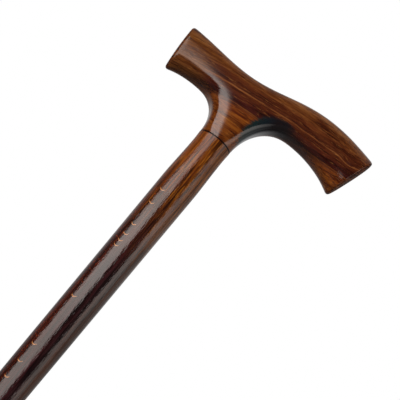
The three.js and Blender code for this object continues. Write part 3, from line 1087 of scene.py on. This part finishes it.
mouth_z = SOCKET_FLOOR + SOCKET_DEPTH
socket_r = FOOT_R + (BODY_R - FOOT_R) * SOCKET_DEPTH / (body_z - foot_z) + SOCKET_CLEARANCE
cup_r = socket_r + CUP_WALL
lip_r = cup_r + LIP_PROUD
tread_r = TREAD_HUB_R + TREAD_GROOVE + TREAD_RING
rubber_profile = [(MIDDLE_R, 0), (TREAD_HUB_R, 0), (TREAD_HUB_R, TREAD_DEPTH)]
rubber_profile += [(TREAD_HUB_R + TREAD_GROOVE, TREAD_DEPTH), (TREAD_HUB_R + TREAD_GROOVE, 0)]
rubber_profile += [(tread_r, 0), (tread_r, TREAD_DEPTH)]
rubber_profile += [(tread_r + TREAD_GROOVE, TREAD_DEPTH), (tread_r + TREAD_GROOVE, 0)]
rubber_profile += [(PAD_R - PAD_BEVEL, 0), (PAD_R, PAD_BEVEL), (PAD_R - PAD_FLARE, PAD_HEIGHT)]
for groove in range(GROOVE_COUNT):
    low = PAD_HEIGHT + groove * GROOVE_PITCH
    ring_r = PAD_R - (groove + 1) * RING_STEP_IN
    above_r = ring_r if groove < GROOVE_COUNT - 1 else lip_r
    rubber_profile += [
        (ring_r - GROOVE_DEPTH, low + GROOVE_FLANK),
        (ring_r - GROOVE_DEPTH, low + GROOVE_FLANK + GROOVE_FLOOR),
        (above_r, low + 2 * GROOVE_FLANK + GROOVE_FLOOR),
        (above_r, low + GROOVE_PITCH),
    ]
rubber_profile += [(cup_r, mouth_z - LIP_HEIGHT - LIP_PROUD), (lip_r, mouth_z - LIP_HEIGHT)]
rubber_profile += [(lip_r, mouth_z - LIP_PROUD), (cup_r, mouth_z)]
rubber_profile += [(socket_r + MOUTH_BEVEL, mouth_z), (socket_r, mouth_z - MOUTH_BEVEL)]
rubber_profile += [(socket_r, SOCKET_FLOOR), (MIDDLE_R, SOCKET_FLOOR)]
ferrule = turn("ferrule_moulded", rubber_profile, FERRULE_ROUND)
close_rims(ferrule)
finish_with(
    ferrule,
    "BEVEL",
    width=EDGE_ROUND * MM,
    segments=EDGE_STEPS,
    limit_method="ANGLE",
    angle_limit=math.radians(EDGE_SHARP),
)
smooth(ferrule, RUBBER_CREASE)

# Black moulded rubber: nearly matt, with a faint grey bloom, a fine pebbled skin and a thin
# parting line down each side where the mould closed. The tread is scuffed paler.
rubber, tree, surface = new_material("rubber_moulded_black")
millimetres = place_in_mm(tree)
axes = add(tree, "ShaderNodeSeparateXYZ", {"Vector": millimetres})
bloom = add(
    tree, "ShaderNodeTexNoise", {"Vector": millimetres, "Scale": 0.35, "Detail": 6.0}
).outputs["Fac"]
scuff = add(
    tree,
    "ShaderNodeMapRange",
    {"Value": axes.outputs["Z"], "From Min": 2.5, "From Max": 0.0, "To Max": 0.25},
).outputs["Result"]
paleness = add(
    tree, "ShaderNodeMath", {0: bloom, 1: 0.6, 2: scuff}, operation="MULTIPLY_ADD"
).outputs["Value"]
skin = add(tree, "ShaderNodeValToRGB", {"Fac": paleness})
paint(skin, (0.15, "#141416"), (0.45, "#222224"), (0.7, "#4a4846"))
tree.links.new(skin.outputs["Color"], surface.inputs["Base Color"])
surface.inputs["Roughness"].default_value = 0.62
surface.inputs["IOR"].default_value = 1.52
pebble = add(
    tree, "ShaderNodeTexNoise", {"Vector": millimetres, "Scale": 3.0, "Detail": 2.0}
).outputs["Fac"]
off_line = add(
    tree, "ShaderNodeMath", {0: axes.outputs["Y"]}, operation="ABSOLUTE"
).outputs["Value"]
parting = add(
    tree,
    "ShaderNodeMapRange",
    {"Value": off_line, "From Min": 0.3, "From Max": 0.0, "To Max": 2.0},
    interpolation_type="SMOOTHSTEP",
).outputs["Result"]
relief = add(tree, "ShaderNodeMath", {0: pebble, 1: parting}, operation="ADD").outputs["Value"]
bump = add(
    tree, "ShaderNodeBump", {"Height": relief, "Distance": 0.08 * MM, "Strength": 1.0}
).outputs["Normal"]
tree.links.new(bump, surface.inputs["Normal"])
ferrule.data.materials.append(rubber)
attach(ferrule, "ferrule_cup")
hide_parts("ferrule")

# In a plain studio, a large softbox above and to the left of the camera draws the long
# highlight down the shaft, and an upright panel to the right draws the faint grey band beside
# it. Each fades towards two of its edges, away from its lamp.
SOFTBOX_REACH = 1.4
SOFTBOX_ABOVE = math.radians(42.6)
SOFTBOX_LEFT = math.radians(15.5)
SOFTBOX_WIDE = math.radians(61)
SOFTBOX_TALL = math.radians(55)
SOFTBOX_GLOW = 4.5
SOFTBOX_COLOUR = (1.0, 0.93, 0.88)
SOFTBOX_FADES = [("Y", 0.82, 1.0, 0.15), ("X", 0.82, 0.99, 0.0)]  # axis, start, end, left over
PANEL_REACH = 1.4
PANEL_BELOW = math.radians(8)
PANEL_RIGHT = math.radians(83)
PANEL_WIDE = math.radians(76)
PANEL_TALL = math.radians(80)
PANEL_GLOW = 2.0
PANEL_COLOUR = (1.0, 0.9, 0.84)
PANEL_FADES = [("X", 0.3, 0.58, 0.2), ("Y", 0.55, 0.05, 0.12)]

handle_middle = Vector((10, 0, joint_z)) * MM


def hang_light(name, toward, up, reach, wide, tall, glow, fades, colour):
    """Hangs an area light that spans given angles, seen from the handle, and fades at edges."""
    across = up.cross(toward).normalized()
    bpy.ops.object.light_add(type="AREA")
    light = bpy.context.object
    light.name = name
    light.data.shape = "RECTANGLE"
    light.data.size = 2 * reach * math.tan(wide / 2)
    light.data.size_y = 2 * reach * math.tan(tall / 2)
    light.data.energy = glow * math.pi * light.data.size * light.data.size_y
    light.data.color = colour
    light.visible_camera = False
    light.matrix_world = (
        Matrix.Translation(handle_middle + toward * reach)
        @ Matrix((across, toward.cross(across), toward)).transposed().to_4x4()
    )
    light.data.use_nodes = True
    tree = light.data.node_tree
    on_face = add(tree, "ShaderNodeNewGeometry").outputs["Parametric"]
    face_axes = add(tree, "ShaderNodeSeparateXYZ", {"Vector": on_face})
    strength = 1.0
    for axis, start, end, left_over in fades:
        falloff = add(
            tree,
            "ShaderNodeMapRange",
            {
                "Value": face_axes.outputs[axis],
                "From Min": start,
                "From Max": end,
                "To Min": 1.0,
                "To Max": left_over,
            },
            interpolation_type="SMOOTHSTEP",
        ).outputs["Result"]
        strength = add(
            tree, "ShaderNodeMath", {0: strength, 1: falloff}, operation="MULTIPLY"
        ).outputs["Value"]
    tree.links.new(strength, tree.nodes["Emission"].inputs["Strength"])


hang_light(
    "softbox",
    image_up * math.sin(SOFTBOX_ABOVE)
    - image_right * math.cos(SOFTBOX_ABOVE) * math.sin(SOFTBOX_LEFT)
    - onward * math.cos(SOFTBOX_ABOVE) * math.cos(SOFTBOX_LEFT),
    image_up,
    SOFTBOX_REACH,
    SOFTBOX_WIDE,
    SOFTBOX_TALL,
    SOFTBOX_GLOW,
    SOFTBOX_FADES,
    SOFTBOX_COLOUR,
)
hang_light(
    "panel",
    Vector((
        math.cos(PANEL_BELOW) * math.sin(PANEL_RIGHT),
        -math.cos(PANEL_BELOW) * math.cos(PANEL_RIGHT),
        -math.sin(PANEL_BELOW),
    )),
    Vector((0, 0, 1)),
    PANEL_REACH,
    PANEL_WIDE,
    PANEL_TALL,
    PANEL_GLOW,
    PANEL_FADES,
    PANEL_COLOUR,
)

# The camera sees a white backdrop. It is dimmer in reflections that look onwards past the stick,
# and lights the back of the stick softly. The ceiling is dimmer still, and so is the camera's
# side of the studio, as the lacquer shows it in the photograph.
AMBIENT = 0.3
BACK_LIGHT = 1.3
BACKDROP = 0.55
CEILING = 0.5
DIM_SIDE = 0.05

world = bpy.data.worlds.new("studio")
bpy.context.scene.world = world
world.use_nodes = True
tree = world.node_tree
path = add(tree, "ShaderNodeLightPath")
direction = add(tree, "ShaderNodeTexCoord").outputs["Generated"]

# Ahead is 1 straight onwards past the stick and -1 behind the camera, and rise is 1 straight up.
ahead = add(
    tree,
    "ShaderNodeVectorMath",
    {0: direction, 1: onward},
    operation="DOT_PRODUCT",
).outputs["Value"]
past_stick = add(
    tree,
    "ShaderNodeMapRange",
    {"Value": ahead, "From Min": 0.1, "From Max": 0.95},
    interpolation_type="SMOOTHSTEP",
).outputs["Result"]
rise = add(tree, "ShaderNodeSeparateXYZ", {"Vector": direction}).outputs["Z"]
above_floor = add(
    tree,
    "ShaderNodeMapRange",
    {"Value": rise, "From Min": -0.4, "From Max": 0.35},
    interpolation_type="SMOOTHSTEP",
).outputs["Result"]
backdrop = add(
    tree, "ShaderNodeMath", {0: past_stick, 1: above_floor}, operation="MULTIPLY"
).outputs["Value"]
overhead = add(
    tree,
    "ShaderNodeMapRange",
    {"Value": rise, "From Min": 0.7, "From Max": 1.0, "To Max": CEILING},
    interpolation_type="SMOOTHSTEP",
).outputs["Result"]
bright = add(
    tree, "ShaderNodeMath", {0: backdrop, 1: overhead}, operation="MAXIMUM"
).outputs["Value"]
reflected = add(
    tree,
    "ShaderNodeMapRange",
    {"Value": bright, "To Min": DIM_SIDE, "To Max": BACKDROP},
).outputs["Result"]
soft = add(
    tree,
    "ShaderNodeMapRange",
    {"Value": ahead, "From Min": 0.1, "From Max": 0.9, "To Min": AMBIENT, "To Max": BACK_LIGHT},
    interpolation_type="SMOOTHSTEP",
).outputs["Result"]
lit = add(
    tree,
    "ShaderNodeMix",
    {"Factor": path.outputs["Is Glossy Ray"], "A": soft, "B": reflected},
    data_type="FLOAT",
).outputs["Result"]
seen = add(
    tree,
    "ShaderNodeMath",
    {0: path.outputs["Is Camera Ray"], 1: path.outputs["Is Transmission Ray"]},
    operation="MAXIMUM",
).outputs["Value"]
strength = add(
    tree, "ShaderNodeMix", {"Factor": seen, "A": lit, "B": 1.0}, data_type="FLOAT"
).outputs["Result"]
tree.links.new(strength, tree.nodes["Background"].inputs["Strength"])
tree.nodes["Background"].inputs["Color"].default_value = linear("#ffffff")

# A round sheet of matt white board is the floor. It keeps the stick's shadow and fades into the
# backdrop at its edge. To all but the camera it is grey, so it throws little light up onto the
# stick. The ferrule stands on it at every pose, so it goes with the ferrule.
FLOOR_R = 1.2
FLOOR_ROUND = 128

bpy.ops.mesh.primitive_circle_add(vertices=FLOOR_ROUND, radius=FLOOR_R, fill_type="NGON")
floor = bpy.context.object
floor.name = "floor"
board, tree, surface = new_material("board_white_matt")
surface.inputs["Roughness"].default_value = 0.9
surface.inputs["Specular IOR Level"].default_value = 0.1
where = add(tree, "ShaderNodeTexCoord").outputs["Object"]
distance = add(
    tree, "ShaderNodeVectorMath", {0: where}, operation="LENGTH"
).outputs["Value"]
fading = add(
    tree,
    "ShaderNodeMapRange",
    {"Value": distance, "From Min": 0.1 * FLOOR_R, "From Max": 0.9 * FLOOR_R},
    interpolation_type="SMOOTHSTEP",
).outputs["Result"]
is_seen = add(tree, "ShaderNodeLightPath").outputs["Is Camera Ray"]
board_colour = add(
    tree,
    "ShaderNodeMix",
    {"Factor": is_seen, "A": linear("#585654"), "B": linear("#e6e6e4")},
    data_type="RGBA",
).outputs["Result"]
tree.links.new(board_colour, surface.inputs["Base Color"])
faded = add(
    tree, "ShaderNodeMath", {0: fading, 1: is_seen}, operation="MULTIPLY"
).outputs["Value"]
white = add(tree, "ShaderNodeEmission", {"Strength": 1.0})
blend = add(
    tree,
    "ShaderNodeMixShader",
    {"Fac": faded, 1: surface.outputs["BSDF"], 2: white.outputs["Emission"]},
).outputs["Shader"]
tree.links.new(blend, tree.nodes["Material Output"].inputs["Surface"])
floor.data.materials.append(board)
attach(floor, "ferrule_cup")

bpy.context.scene.view_settings.view_transform = "Standard"
